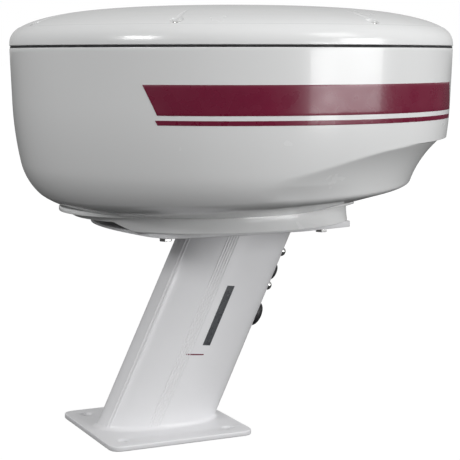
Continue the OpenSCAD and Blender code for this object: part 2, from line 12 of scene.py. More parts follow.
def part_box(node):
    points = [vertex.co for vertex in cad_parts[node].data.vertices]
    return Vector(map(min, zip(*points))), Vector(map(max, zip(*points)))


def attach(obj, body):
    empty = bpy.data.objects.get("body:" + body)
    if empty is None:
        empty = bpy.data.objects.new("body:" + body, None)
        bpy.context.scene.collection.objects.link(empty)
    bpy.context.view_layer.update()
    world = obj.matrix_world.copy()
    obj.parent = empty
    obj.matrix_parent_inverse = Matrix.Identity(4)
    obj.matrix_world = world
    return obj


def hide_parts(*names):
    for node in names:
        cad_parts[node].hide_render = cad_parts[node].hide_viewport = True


bl_info = {
    "name": "Radar dome antenna",
    "version": (1, 0, 0),
    "blender": (4, 5, 0),
    "location": "View3D > Sidebar > Radar dome",
    "description": "Builds the looks of a radar dome on its raked tower round the packed frame",
    "category": "Add Mesh",
}

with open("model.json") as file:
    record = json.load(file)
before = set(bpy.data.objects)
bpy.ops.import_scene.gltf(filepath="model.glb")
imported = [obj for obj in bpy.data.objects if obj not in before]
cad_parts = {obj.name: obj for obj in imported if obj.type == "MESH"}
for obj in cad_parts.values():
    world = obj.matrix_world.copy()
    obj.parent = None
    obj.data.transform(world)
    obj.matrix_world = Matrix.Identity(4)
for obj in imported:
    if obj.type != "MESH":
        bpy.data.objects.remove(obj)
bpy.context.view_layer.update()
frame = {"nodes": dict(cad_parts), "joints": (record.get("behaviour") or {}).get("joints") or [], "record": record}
NODES = frame["nodes"]
SLOTS = {row["node"]: row["material_slot"] for row in frame["record"]["subparts"]}
MM = 0.001
WELD_DISTANCE = 2e-6


def node_box(node):
    """Lowest and highest corner of a CAD node in millimetres."""
    low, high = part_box(node)
    return np.array(low) / MM, np.array(high) / MM


SPIN = next(j for j in frame["joints"] if j["name"] == "antenna_spin")
DOME_X = SPIN["pos_m"][0] / MM
CASING_LOW, CASING_HIGH = node_box("lower_casing")
COVER_LOW, COVER_HIGH = node_box("cover")
PLATE_HIGH = node_box("base_plate")[1]
TOP_LOW, TOP_HIGH = node_box("top_plate")
BAND_LOW, BAND_HIGH = node_box("side_band")
SEAL_LOW, SEAL_HIGH = node_box("casing_seal")
RIM_Z, SEAT_Z, DOME_R = CASING_HIGH[2], CASING_LOW[2], CASING_HIGH[1]
FLOOR_Z = SEAT_Z + 16.5
PLATE_T = PLATE_HIGH[2]


# ---------- sizes and colours that a user would change ----------


def length(name, text, default):
    """A length property in metres."""
    return FloatProperty(name=name, description=text, default=default, unit="LENGTH", precision=4)


def colour(name, text, default):
    """A colour property."""
    return FloatVectorProperty(
        name=name, description=text, default=default, size=3, subtype="COLOR", min=0, max=1
    )


class CasingSizes(bpy.types.PropertyGroup):
    wall: length("Wall", "Moulded wall of the bowl", 0.0044)
    lip_round: length("Lip rounding", "Blend width along the scoop's upper edge", 0.0012)
    foot_round: length("Lower rounding", "Rounding where the side meets the underside", 0.0035)
    skirt_wall: length("Skirt wall", "Wall of the foot's skirt", 0.005)
    notch_rise: length("Cable way height", "Rise of the cable way at the back of the foot", 0.010)
    notch_half: length("Cable way half width", "Half of the cable way's width at the seat", 0.083)
    columns: IntProperty(name="Columns", description="Columns round the bowl", default=400, min=60)


class CoverSizes(bpy.types.PropertyGroup):
    crease: length("Crease depth", "Step between the rolled band and the dome above it", 0.0005)
    crease_radius: length("Crease radius", "Radius of that step", 0.2492)
    pocket_radius: length("Pocket radius", "Radius of each screw pocket", 0.0064)
    groove_length: length("Groove length", "Length of the tapering groove above a pocket", 0.038)
    groove_depth: length("Groove depth", "Depth of that groove beside the pocket", 0.0015)
    screws: IntProperty(name="Cover screws", description="Number of cover screws", default=7, min=3)


class TowerSizes(bpy.types.PropertyGroup):
    half_length: length("Half length", "Half of the tube's long side", 0.067)
    half_width: length("Half width", "Half of the tube's short side", 0.040)
    wall: length("Wall", "Wall of the extrusion", 0.004)
    rake: FloatProperty(
        name="Rake", description="Lean of the tower from upright", default=math.radians(25.3), subtype="ANGLE"
    )
    rib: length("Rib height", "Height of the fine ribs along the tube", 0.0005)
    weld: length("Weld", "Leg of the weld fillet", 0.0048)
    edge: length("Plate edge rounding", "Rounding of the plates' edges", 0.0014)


class StripeSizes(bpy.types.PropertyGroup):
    first: FloatProperty(
        name="Stripe start", description="Angle where a stripe starts",
        default=math.radians(38), subtype="ANGLE",
    )
    span: FloatProperty(
        name="Stripe span", description="Angle that a stripe covers",
        default=math.radians(100), subtype="ANGLE",
    )
    film: length("Film thickness", "Thickness of the coloured film", 0.0003)


class Colours(bpy.types.PropertyGroup):
    casing: colour("Casing", "Moulded casing", (0.78, 0.785, 0.785))
    tower: colour("Tower", "Powder coat of the tower", (0.80, 0.80, 0.815))
    stripe: colour("Stripe", "Coloured film on the bowl", (0.17, 0.008, 0.035))
    label: colour("Label", "Plain film on the tube", (0.06, 0.063, 0.07))
    rubber: colour("Rubber", "Plugs and seal", (0.018, 0.018, 0.02))


GROUPS = {
    "radar_casing": CasingSizes,
    "radar_cover": CoverSizes,
    "radar_tower": TowerSizes,
    "radar_stripe": StripeSizes,
    "radar_colours": Colours,
}


def settings(group):
    """One of the property groups on the scene."""
    return getattr(bpy.context.scene, "radar_" + group)


# ---------- gathering surfaces into a piece ----------


class Surface:
    """Grids of points and flat faces in millimetres, welded into one mesh at the end."""

    def __init__(self):
        self.points, self.faces, self.total = [], [], 0

    def keep(self, points, faces):
        """Stores points with the faces that join them."""
        self.points.append(points)
        self.faces += (faces + self.total).tolist()
        self.total += len(points)

    def grid(self, points, round_columns=True, round_rows=False):
        """A rows by columns grid as quads; a round direction joins its end to its start."""
        rows, columns = points.shape[:2]
        index = np.arange(rows * columns).reshape(rows, columns)
        if round_columns:
            index = np.hstack([index, index[:, :1]])
        if round_rows:
            index = np.vstack([index, index[:1]])
        quads = np.stack([index[:-1, :-1], index[:-1, 1:], index[1:, 1:], index[1:, :-1]], -1)
        self.keep(points.reshape(-1, 3), quads.reshape(-1, 4))

    def flat(self, *loops):
        """A flat region: the first loop is its outline and the others are its holes."""
        triangles = tessellate_polygon([[Vector(p) for p in loop] for loop in loops])
        self.keep(np.vstack(loops), np.array(triangles))

    def piece(self, name, slot, body, replaces=(), sharp=33.0):
        """Welds the points, turns every face outwards and puts the piece on its body."""
        mesh = bpy.data.meshes.new(name)
        mesh.from_pydata((np.vstack(self.points) * MM).tolist(), [], self.faces)
        work = bmesh.new()
        work.from_mesh(mesh)
        bmesh.ops.remove_doubles(work, verts=work.verts, dist=WELD_DISTANCE)
        bmesh.ops.recalc_face_normals(work, faces=work.faces)
        work.to_mesh(mesh)
        work.free()
        mesh.polygons.foreach_set("use_smooth", np.ones(len(mesh.polygons), bool))
        mesh.set_sharp_from_angle(angle=math.radians(sharp))
        mesh.materials.append(finish_for(slot))
        made = bpy.data.objects.new(name, mesh)
        bpy.context.scene.collection.objects.link(made)
        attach(made, body)
        if replaces:
            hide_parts(*replaces)
        return made


def ring_of(radius, height, columns, middle=(0.0, 0.0)):
    """Points of rings: radius and height are rows by columns arrays, or rows alone, about a middle."""
    radius, height = np.atleast_2d(radius), np.atleast_2d(height)
    if radius.shape[0] == 1 and radius.shape[1] != columns:
        radius, height = radius.T, height.T
    turn = np.linspace(0, 2 * np.pi, columns, endpoint=False)
    radius = np.broadcast_to(radius, (radius.shape[0], columns))
    height = np.broadcast_to(height, radius.shape)
    return np.stack([middle[0] + radius * np.cos(turn), middle[1] + radius * np.sin(turn), height], -1)


def lathe(surface, profile, columns=48, middle=(0.0, 0.0), place=None, closed=False):
    """Turns a profile of [radius, height] rows about an upright axis, then carries it with place."""
    rows = np.array(profile, float)
    points = ring_of(rows[:, 0], rows[:, 1], columns, middle)
    surface.grid(points if place is None else place(points), round_rows=closed)


def smooth_step(t):
    """Zero below 0, one above 1, and 3t squared less 2t cubed between."""
    t = np.clip(t, 0, 1)
    return t * t * (3 - 2 * t)


def smooth_min(a, b, width):
    """The lesser of two fields, blended by a parabola where they are within a width of each other."""
    share = np.clip(0.5 + 0.5 * (b - a) / width, 0, 1)
    return b * (1 - share) + a * share - width * share * (1 - share)


def solve(field, low, high, steps=40):
    """Height where a rising field crosses zero, by halving the interval for every column at once."""
    for _ in range(steps):
        middle = (low + high) / 2
        above = field(middle) > 0
        low, high = np.where(above, low, middle), np.where(above, middle, high)
    return (low + high) / 2


def bend_between(first, corner, last, rows):
    """A parabola from one row of values or points to another, with the corner as its middle control."""
    t = np.linspace(0, 1, rows).reshape(-1, *[1] * np.ndim(first))
    return (1 - t) ** 2 * first + 2 * t * (1 - t) * corner + t**2 * last


def closed_film(surface, layers):
    """A thin sheet from grids of points, the lowest first: its face, its back and its rim."""
    surface.grid(layers[-1], round_columns=False)
    surface.grid(layers[0][::-1], round_columns=False)
    surface.grid(np.stack([np.vstack([g[0], g[1:, -1], g[-1, -2::-1], g[-2:0:-1, 0]]) for g in layers]))


# ---------- finishes ----------

ALONG_X = (0, math.pi / 2, 0)
ALONG_Y = (0, 0, math.pi / 2)
SOCKETS = {
    "coat_weight": "Coat Weight",
    "coat_roughness": "Coat Roughness",
    "metallic": "Metallic",
    "specular": "Specular IOR Level",
}


class Finish:
    """A Principled material. Its patterns read Object coordinates; its uniform values sit on its sockets."""

    def __init__(self, name, base, rough, **sockets):
        self.material = bpy.data.materials.new(name)
        self.material.use_nodes = True
        self.nodes = self.material.node_tree.nodes
        self.links = self.material.node_tree.links
        self.shader = next(n for n in self.nodes if n.type == "BSDF_PRINCIPLED")
        self.base = tuple(base)
        self.shader.inputs["Base Color"].default_value = (*base, 1)
        self.shader.inputs["Roughness"].default_value = rough
        for socket, value in sockets.items():
            self.shader.inputs[SOCKETS[socket]].default_value = value
        self.place = self.nodes.new("ShaderNodeTexCoord").outputs["Object"]
        self.relief_from = None

    def mapped(self, stretch, turn):
        """Object coordinates turned, then stretched so many times, so that a grain can run one way."""
        mapping = self.nodes.new("ShaderNodeMapping")
        mapping.vector_type = "TEXTURE"
        mapping.inputs["Scale"].default_value = stretch
        mapping.inputs["Rotation"].default_value = turn
        self.links.new(self.place, mapping.inputs["Vector"])
        return mapping.outputs["Vector"]

    def noise(self, scale, detail=3.0, stretch=(1, 1, 1), turn=(0, 0, 0)):
        """Fractal noise with about scale grains to the metre."""
        node = self.nodes.new("ShaderNodeTexNoise")
        node.inputs["Scale"].default_value = scale
        node.inputs["Detail"].default_value = detail
        self.links.new(self.mapped(stretch, turn), node.inputs["Vector"])
        return node.outputs["Fac"]

    def cells(self, scale):
        """Distance to the nearest of scattered points."""
        node = self.nodes.new("ShaderNodeTexVoronoi")
        node.inputs["Scale"].default_value = scale
        self.links.new(self.mapped((1, 1, 1), (0, 0, 0)), node.inputs["Vector"])
        return node.outputs["Distance"]

    def lines(self, scale, turn=(0, 0, 0), distortion=0.0):
        """Parallel bands, as of wire or machining marks."""
        node = self.nodes.new("ShaderNodeTexWave")
        node.inputs["Scale"].default_value = scale
        node.inputs["Distortion"].default_value = distortion
        self.links.new(self.mapped((1, 1, 1), turn), node.inputs["Vector"])
        return node.outputs["Fac"]

    def between(self, pattern, low, high, start, end):
        """The pattern's values from low to high carried over to start to end."""
        node = self.nodes.new("ShaderNodeMapRange")
        for socket, value in zip(("From Min", "From Max", "To Min", "To Max"), (low, high, start, end)):
            node.inputs[socket].default_value = value
        self.links.new(pattern, node.inputs["Value"])
        return node.outputs["Result"]

    def tint(self, pattern, other, low=0.35, high=0.65):
        """Blends the colour so far towards another where the pattern is high."""
        node = self.nodes.new("ShaderNodeMix")
        node.data_type = "RGBA"
        self.links.new(self.between(pattern, low, high, 0, 1), node.inputs[0])
        socket = self.shader.inputs["Base Color"]
        if socket.is_linked:
            self.links.new(socket.links[0].from_socket, node.inputs[6])
        else:
            node.inputs[6].default_value = socket.default_value
        node.inputs[7].default_value = (*other, 1)
        self.links.new(node.outputs[2], socket)
        return self

    def shade(self, pattern, amount, low=0.35, high=0.65):
        """Darkens the colour by a share where the pattern is high."""
        return self.tint(pattern, [c * (1 - amount) for c in self.base], low, high)

    def rough(self, pattern, start, end, low=0.3, high=0.7):
        """Lets the roughness follow the pattern."""
        self.links.new(self.between(pattern, low, high, start, end), self.shader.inputs["Roughness"])
        return self

    def relief(self, pattern, depth, strength=1.0):
        """Adds a relief of a depth in millimetres on top of what is there."""
        node = self.nodes.new("ShaderNodeBump")
        node.inputs["Distance"].default_value = depth * MM
        node.inputs["Strength"].default_value = strength
        self.links.new(pattern, node.inputs["Height"])
        if self.relief_from:
            self.links.new(self.relief_from, node.inputs["Normal"])
        self.relief_from = node.outputs["Normal"]
        self.links.new(self.relief_from, self.shader.inputs["Normal"])
        return self


def casing_finish():
    """Glossy moulded casing: faint orange peel, a slight unevenness of tone and gloss."""
    f = Finish("moulded_casing", settings("colours").casing, 0.24, coat_weight=0.35, coat_roughness=0.07)
    f.shade(f.noise(4, 3), 0.035, 0.2, 0.8)
    f.rough(f.noise(18, 4), 0.20, 0.29, 0.2, 0.8)
    return f.relief(f.noise(260, 1), 0.02, 0.35)


def tower_finish():
    """Satin powder coat: a fine pebble texture over faint draw lines along the tube."""
    lean = (0, settings("tower").rake, 0)
    f = Finish("powder_coat", settings("colours").tower, 0.36, coat_weight=0.12, coat_roughness=0.2)
    f.shade(f.noise(7, 4), 0.04)
    f.rough(f.noise(60, 4), 0.30, 0.42)
    f.relief(f.noise(260, 2, (1, 1, 60), lean), 0.03, 0.35)
    f.relief(f.noise(1100, 2), 0.03, 0.35)
    return f.relief(f.noise(420, 2), 0.03, 0.3)


def rubber_finish(name, rough=0.62):
    """Moulded rubber with a fine grain and dusty greyer patches."""
    f = Finish(name, settings("colours").rubber, rough, specular=0.4)
    f.tint(f.noise(90, 5), (0.06, 0.06, 0.062), 0.5, 0.75)
    f.rough(f.noise(240, 4), rough - 0.14, rough + 0.14)
    return f.relief(f.noise(1500, 3), 0.05, 0.6)


def metal_finish(name, base, rough, grain, mark=0.5, turn=(0, 0, 0), stain=None):
    """Worked metal: brushing that runs one way, with cloudy patches of tone and gloss."""
    f = Finish(name, base, rough, metallic=1.0)
    f.shade(f.noise(70, 5), 0.18)
    if stain:
        f.tint(f.noise(130, 6), stain, 0.6, 0.8)
    f.rough(f.noise(300, 4), rough * 0.75, rough * 1.35)
    f.relief(f.noise(900, 3, grain, turn), 0.04, mark)
    return f.relief(f.noise(2600, 2), 0.012, mark)


def cast_finish(name, base, rough=0.5):
    """Die casting: a blasted skin with pits and slightly darker hollows."""
    f = Finish(name, base, rough, metallic=1.0)
    f.shade(f.noise(45, 6), 0.22)
    f.rough(f.noise(500, 4), rough - 0.1, rough + 0.14)
    f.relief(f.cells(700), 0.06, 0.5)
    return f.relief(f.noise(1600, 3), 0.06, 0.6)


def plastic_finish(name, base, rough=0.5, grain=1400, depth=0.04):
    """Moulded plastic with a spark-eroded grain and a slight unevenness of tone."""
    f = Finish(name, base, rough, specular=0.45)
    f.shade(f.noise(60, 4), 0.10)
    f.rough(f.noise(200, 4), rough - 0.08, rough + 0.1)
    return f.relief(f.noise(grain, 3), depth, 0.6)


def board_finish():
    """Circuit board: green mask over raised tracks, with tinned pads."""
    f = Finish("circuit_board", (0.012, 0.115, 0.05), 0.3, coat_weight=0.3, coat_roughness=0.12)
    tracks = f.lines(95)
    across = f.lines(70, ALONG_Y, 3.0)
    f.tint(tracks, (0.03, 0.22, 0.09), 0.72, 0.8)
    f.tint(across, (0.02, 0.17, 0.07), 0.8, 0.88)
    f.tint(f.between(f.cells(210), 0.0, 0.22, 1.0, 0.0), (0.62, 0.6, 0.5), 0.45, 0.6)
    f.rough(f.noise(150, 3), 0.24, 0.38)
    return f.relief(tracks, 0.05, 0.6)


def winding_finish():
    """Enamelled copper wire wound turn beside turn, under a film of varnish."""
    f = Finish("copper_winding", (0.52, 0.20, 0.07), 0.3, metallic=0.75, coat_weight=0.4)
    turns = f.lines(260, ALONG_X)
    f.tint(turns, (0.16, 0.05, 0.02), 0.1, 0.4)
    f.rough(f.noise(120, 4), 0.22, 0.4)
    return f.relief(turns, 0.25, 0.9)


def film_finish(name, base):
    """Cast vinyl film: nearly smooth, with faint dimples and an uneven gloss."""
    f = Finish(name, base, 0.26, coat_weight=0.25, coat_roughness=0.1)
    f.shade(f.noise(12, 4), 0.10)
    f.rough(f.noise(50, 4), 0.22, 0.34)
    return f.relief(f.noise(320, 2), 0.02, 0.5)


def array_finish():
    """Radiating face: pale laminate with a woven glass grain."""
    f = Finish("array_laminate", (0.72, 0.69, 0.58), 0.5)
    f.shade(f.noise(25, 5), 0.10)
    f.tint(f.lines(420, ALONG_Y), (0.66, 0.63, 0.52), 0.5, 0.9)
    f.relief(f.lines(420, ALONG_X), 0.03, 0.4)
    return f.relief(f.noise(700, 3), 0.03, 0.5)


FINISHES = {
    "gelcoat": casing_finish,
    "powder_white": tower_finish,
    "seal_rubber": lambda: rubber_finish("seal_rubber", 0.7),
    "plug_rubber": lambda: rubber_finish("plug_rubber", 0.5),
    "belt_rubber": lambda: rubber_finish("belt_rubber", 0.6),
    "stainless": lambda: metal_finish("stainless_steel", (0.66, 0.66, 0.65), 0.2, (1, 1, 8), 0.3),
    "brass": lambda: metal_finish(
        "turned_brass", (0.72, 0.52, 0.22), 0.3, (12, 12, 1), 0.5, stain=(0.5, 0.34, 0.16)
    ),
    "cast_aluminium": lambda: cast_finish("die_casting", (0.60, 0.61, 0.62)),
    "bearing_steel": lambda: metal_finish("ground_steel", (0.72, 0.73, 0.74), 0.16, (6, 6, 1), 0.25),
    "zinc_steel": lambda: metal_finish(
        "zinc_plated", (0.66, 0.65, 0.58), 0.32, (1, 1, 5), 0.4, stain=(0.62, 0.58, 0.4)
    ),
    "nylon_black": lambda: plastic_finish("black_nylon", (0.022, 0.022, 0.025), 0.48),
    "nylon_white": lambda: plastic_finish("ivory_nylon", (0.74, 0.72, 0.64), 0.45),
    "board_green": board_finish,
    "winding": winding_finish,
    "magnet_grey": lambda: cast_finish("sintered_magnet", (0.16, 0.16, 0.17), 0.42),
    "tin_can": lambda: metal_finish(
        "tinned_sheet", (0.70, 0.70, 0.68), 0.24, (9, 1, 1), 0.3, stain=(0.5, 0.49, 0.46)
    ),
    "motor_black": lambda: plastic_finish("motor_enamel", (0.025, 0.025, 0.028), 0.34, 600, 0.06),
    "array_cream": array_finish,
    "frame_aluminium": lambda: metal_finish("bent_sheet", (0.72, 0.73, 0.74), 0.34, (1, 25, 1), 0.5),
    "band_maroon": lambda: film_finish("maroon_film", settings("colours").stripe),
    "label_grey": lambda: film_finish("dark_film", settings("colours").label),
}
MADE = {}


def finish_for(slot):
    """The material of a record slot, made once."""
    if slot not in MADE:
        MADE[slot] = FINISHES[slot]().material
    return MADE[slot]


# ---------- lower casing ----------

TAPER, BEND_1, BEND_2 = (math.radians(a) for a in (2.07, 12.4, 55.0))
TAPER_Z = 385.0
BEND_1_R, BEND_2_R = 386.0, 70.0
BEND_2_Z = TAPER_Z - BEND_1_R * (math.sin(BEND_1) - math.sin(TAPER))
LINE_Z = BEND_2_Z - BEND_2_R * (math.sin(BEND_2) - math.sin(BEND_1))
UNDER_Z, UNDER_RISE, UNDER_SLOPE, UNDER_TILT = 226.7, 0.009, 0.2548, math.radians(2.93)
UNDER_BLEND = 2.0
FLANGE_R = 247.0
SCOOP_R, SCOOP_Z, SCOOP_ARC, SCOOP_BACK = 232.2, 291.5, 120.0, 24.0
SCOOP_LOW, SCOOP_HIGH = math.radians(18), math.radians(44)
SCOOP_EASE_Z, SCOOP_EASE_RISE = 283.0, 22.0
SCOOP_END_Z = SCOOP_Z + SCOOP_ARC * (math.sin(SCOOP_HIGH) - math.sin(SCOOP_LOW))
LIP_Z = 347.0
SCOOP_WIDEN, WIDEN_FROM, WIDEN_OVER = 3.9, math.radians(72), math.radians(24)


def side_radius(z):
    """Radius of the bowl's side: a tapered wall, then an arc of 386 mm and one of 70 mm, each tangent to
    what is above it, then a straight line at 55 degrees. Each part adds its own share of the inward move."""
    first = np.arcsin(np.clip(np.sin(TAPER) + (TAPER_Z - z) / BEND_1_R, np.sin(TAPER), np.sin(BEND_1)))
    second = np.arcsin(np.clip(np.sin(BEND_1) + (BEND_2_Z - z) / BEND_2_R, np.sin(BEND_1), np.sin(BEND_2)))
    return (
        DOME_R
        - (RIM_Z - np.maximum(z, TAPER_Z)) * np.tan(TAPER)
        - BEND_1_R * (np.cos(TAPER) - np.cos(first))
        - BEND_2_R * (np.cos(BEND_1) - np.cos(second))
        - np.maximum(LINE_Z - z, 0) * np.tan(BEND_2)
    )


def scoop_radius(turn, z):
    """Distance from the dome's axis to the scoop, a hollow arc turned about an axis 24 mm behind it:
    the root of a circle through the scoop's own radius, seen from the dome's axis at that angle. Beyond
    72 degrees from the front it eases outwards, so that the scoop runs out gently at its ends."""
    lean = np.arcsin(
        np.clip(np.sin(SCOOP_LOW) + (z - SCOOP_Z) / SCOOP_ARC, np.sin(SCOOP_LOW), np.sin(SCOOP_HIGH))
    )
    own = (
        SCOOP_R
        + SCOOP_ARC * (np.cos(SCOOP_LOW) - np.cos(lean))
        - np.maximum(SCOOP_Z - z, 0) * np.tan(SCOOP_LOW)
        + np.maximum(z - SCOOP_END_Z, 0) * np.tan(SCOOP_HIGH)
        + 30 * (np.maximum(z - LIP_Z + 3, 0) / 3) ** 2
    )
    spread = np.abs((turn + np.pi) % (2 * np.pi) - np.pi)
    ease = SCOOP_WIDEN * smooth_step((spread - WIDEN_FROM) / WIDEN_OVER)
    ease = ease * np.clip((z - SCOOP_EASE_Z) / SCOOP_EASE_RISE, 0, 1)
    return np.sqrt(own**2 - (SCOOP_BACK * np.sin(turn)) ** 2) - SCOOP_BACK * np.cos(turn) + ease


def outside_radius(turn, z):
    """The lesser of the side and the scoop, with the edge between them slightly rounded."""
    return smooth_min(side_radius(z), scoop_radius(turn, z), settings("casing").lip_round / MM)


def underside(turn, radius):
    """Height of the underside: the upper root of a cone that leans forward, or the level floor, the
    higher of the two."""
    x, y = radius * np.cos(turn), radius * np.sin(turn)
    c, s, k = math.cos(UNDER_TILT), math.sin(UNDER_TILT), UNDER_SLOPE
    a = c * c - k * k * s * s
    b = -2 * x * s * c * (1 + k * k)
    d = x * x * s * s - k * k * (x * x * c * c + y * y)
    cone = UNDER_Z + UNDER_RISE * x + (np.sqrt(b * b - 4 * a * d) - b) / (2 * a)
    return -smooth_min(-cone, np.full_like(cone, -FLOOR_Z), UNDER_BLEND)


def bowl_profile(turn, wall):
    """Radius and height, rows by columns, from the rim down the outside to the middle of the underside,
    or inside it at a wall's distance. Rows gather at the scoop's lip and at the lower edge."""
    sizes = settings("casing")
    level = np.ones_like(turn)
    low_z = solve(lambda z: z - underside(turn, outside_radius(turn, z)), 255 * level, 335 * level)
    lip_z = solve(lambda z: scoop_radius(turn, z) - side_radius(z), 280 * level, LIP_Z * level)
    rear = (1 - np.cos(turn)) / 2
    soft = sizes.foot_round / MM * (1 + 2.2 * rear**2)
    lip_z = np.maximum(lip_z, low_z + 20)
    down = np.linspace(0, 1, 44)[:, None]
    near = np.linspace(-1, 1, 15)[:, None]
    start = RIM_Z - 1 if wall == 0 else RIM_Z - 8
    high = start + (lip_z + 5 - start) * down
    across = lip_z - 5 * np.sign(near) * np.abs(near) ** 1.7
    below = lip_z - 5 + (low_z + soft - lip_z + 5) * np.linspace(0, 1, 16)[:, None]
    z = np.vstack([high, across[1:], below[1:]])
    radius = outside_radius(turn, z) - wall * 1.06
    low_r = outside_radius(turn, low_z)
    inner_r = low_r - 2.2 * soft
    corner_r = bend_between(radius[-1], low_r - wall * 1.06, inner_r, 7)
    corner_z = bend_between(z[-1], low_z + wall * 0.6, underside(turn, inner_r) + wall, 7)
    inward = inner_r * (1 - np.linspace(0, 1, 40)[1:, None] ** 1.15)
    floor = underside(turn, inward) + wall
    return np.vstack([radius, corner_r[1:], inward]), np.vstack([z, corner_z[1:], floor])


def build_bowl():
    """The bowl: its outside and inside profiles joined by the flange that carries the seal."""
    sizes = settings("casing")
    turn = np.linspace(0, 2 * np.pi, sizes.columns, endpoint=False)
    radius, z = bowl_profile(turn, 0.0)
    inner_r, inner_z = bowl_profile(turn, sizes.wall / MM)
    ones = np.ones((1, len(turn)))
    rim = [(DOME_R - 0.1, RIM_Z - 0.55), (DOME_R - 0.4, RIM_Z - 0.15), (DOME_R - 1.0, RIM_Z)]
    rim += [(FLANGE_R, RIM_Z), (FLANGE_R, RIM_Z - 8)]
    rim_r = np.vstack([r * ones for r, _ in rim])
    rim_z = np.vstack([h * ones for _, h in rim])
    all_r = np.vstack([radius[::-1], rim_r, inner_r])
    all_z = np.vstack([z[::-1], rim_z, inner_z])
    surface = Surface()
    surface.grid(ring_of(all_r, all_z, len(turn), (DOME_X, 0)))
    surface.piece("bowl_shell", "gelcoat", "fixed", ["lower_casing"], 40)


# Foot ovals as middle, half length and half width
BEAD, SKIRT_TOP, SKIRT_LOW = (74.0, 186.0, 136.0), (74.0, 170.0, 138.0), (77.5, 164.0, 146.0)
BEAD_FRONT, SKIRT_FRONT = 222.0, 213.0
GROOVE_Z, GROOVE_RISE = 262.8, 0.009
SKIRT_MIDDLE, FLARE_POWER = 75.0, 1.9


def foot_turns():
    """Shares of the way round a foot oval, closer together where the cable way's edges stand."""
    even = np.linspace(0, 1, 260)
    edge = np.linspace(0.362, 0.428, 60)
    return np.unique(np.concatenate([even, edge, 1 - edge]))


def foot_ring(oval, front, grow, z):
    """An oval cut off square at its front: an even run of angles from one front corner round the back to
    the other, then a straight line home. z is one height, or a function of x and y."""
    middle, half_x, half_y = oval[0], oval[1] + grow, oval[2] + grow
    corner = math.acos((front + grow - middle) / half_x)
    angle = corner + foot_turns() * (2 * np.pi - 2 * corner)
    x, y = middle + half_x * np.cos(angle), half_y * np.sin(angle)
    y_line = np.linspace(y[-1], y[0], 26)[1:-1]
    x, y = np.append(x, np.full_like(y_line, front + grow)), np.append(y, y_line)
    return np.stack([x, y, z(x, y) if callable(z) else np.full_like(x, z)], -1)


def above_groove(up):
    """Height of a foot ring over the groove under the bead, which rises slightly towards the front."""
    return lambda x, y: GROOVE_Z + GROOVE_RISE * x + up


def build_foot():
    """The foot: a bead under the bowl, a groove, and a skirt that flares out in a hollow curve to the seat.
    The cable way lifts the skirt's lower edge at the back, with sloping sides."""
    sizes = settings("casing")
    rise = sizes.notch_rise / MM

    def lower_edge(x, y):
        return SEAT_Z + rise * np.clip((sizes.notch_half / MM - np.abs(y)) / 15, 0, 1) * (x < 0)

    top = foot_ring(SKIRT_TOP, SKIRT_FRONT, 0, above_groove(-0.3))
    low = foot_ring(SKIRT_LOW, SKIRT_FRONT, 0, SEAT_Z)
    edge_z = lower_edge(low[:, 0], low[:, 1])
    depth = top[:, 2] - SEAT_Z
    end = (top[:, 2] - edge_z) / depth
    bead = [(-1.0, 5.5), (0, 4.1), (0, 0.9), (-0.3, 0.25), (-1.0, 0)]
    groove = [(-0.4, 0.1), (-0.9, 1.3), (-1.1, 0.1)]
    rings = [foot_ring(BEAD, BEAD_FRONT, grow, above_groove(up)) for grow, up in bead]
    rings += [foot_ring(SKIRT_TOP, SKIRT_FRONT, grow, above_groove(up)) for grow, up in groove]

    def flared(share, inward):
        """The skirt at a share of its own height: it moves out with a power of how far down it is."""
        share = share * end
        ring = top + (low - top) * (share**FLARE_POWER)[:, None]
        middle = np.array([SKIRT_MIDDLE, 0.0, 0.0])
        away = (ring - middle) * [1, 1, 0]
        away /= np.linalg.norm(away, axis=1)[:, None]
        ring = ring - inward * away
        ring[:, 2] = top[:, 2] - depth * share
        return ring

    rings += [flared(s, 0) for s in np.linspace(0, 0.94, 14)]
    rings += [flared(0.985, 0.0), flared(1.0, 0.35)]
    wall = sizes.skirt_wall / MM
    rings += [flared(s, wall) for s in (1.0, 0.75, 0.5, 0.2, 0.0)]
    surface = Surface()
    surface.grid(np.stack(rings))
    surface.flat(rings[0])
    surface.flat(rings[-1])
    surface.piece("foot_skirt", "gelcoat", "fixed", ["lower_casing"], 40)


SCREW_CIRCLE, BOSS_R = 240.0, 8.5


def around_cover():
    """Middles of the cover screws, evenly round from the back."""
    count = settings("cover").screws
    turn = np.pi + 2 * np.pi * np.arange(count) / count
    return [(DOME_X + SCREW_CIRCLE * math.cos(t), SCREW_CIRCLE * math.sin(t)) for t in turn]


def build_screw_bosses():
    """Turned bosses in the bowl and under the cover for the screws, each a closed ring."""
    bowl, cover = Surface(), Surface()
    low, top = RIM_Z - 32, RIM_Z - 0.6
    bowl_boss = [(5, low), (BOSS_R, low), (BOSS_R, RIM_Z - 1), (BOSS_R - 0.4, top), (5, top)]
    low, high = COVER_LOW[2] + 0.3, COVER_LOW[2] + 20
    cover_boss = [(3.4, low), (BOSS_R - 0.3, low), (BOSS_R, low + 0.4), (BOSS_R, high), (3.4, high)]
    for middle in around_cover():
        lathe(bowl, bowl_boss, 36, middle, closed=True)
        lathe(cover, cover_boss, 36, middle, closed=True)
    bowl.piece("bowl_bosses", "gelcoat", "fixed", ["lower_casing"])
    cover.piece("cover_bosses", "gelcoat", "cover", ["cover"])


# ---------- cover ----------

COVER_POWER, COVER_WALL = 2.75, 4.2
POCKET_Z = COVER_LOW[2] + 20.0


def cover_height(radius, rim, rise):
    """Height over the cover's rim: a superellipse of power 2.75."""
    return rise * np.maximum(1 - (radius / rim) ** COVER_POWER, 0) ** (1 / COVER_POWER)


def cover_columns():
    """Angles round the cover, close together at each screw so that its pocket is round."""
    count = settings("cover").screws
    step = 2 * np.pi / count
    close = np.linspace(-0.040, 0.040, 38)
    wide = np.linspace(0.040, step - 0.040, 22)[1:-1]
    offsets = np.concatenate([close, wide])
    return (np.pi + step * np.arange(count)[:, None] + offsets).ravel()


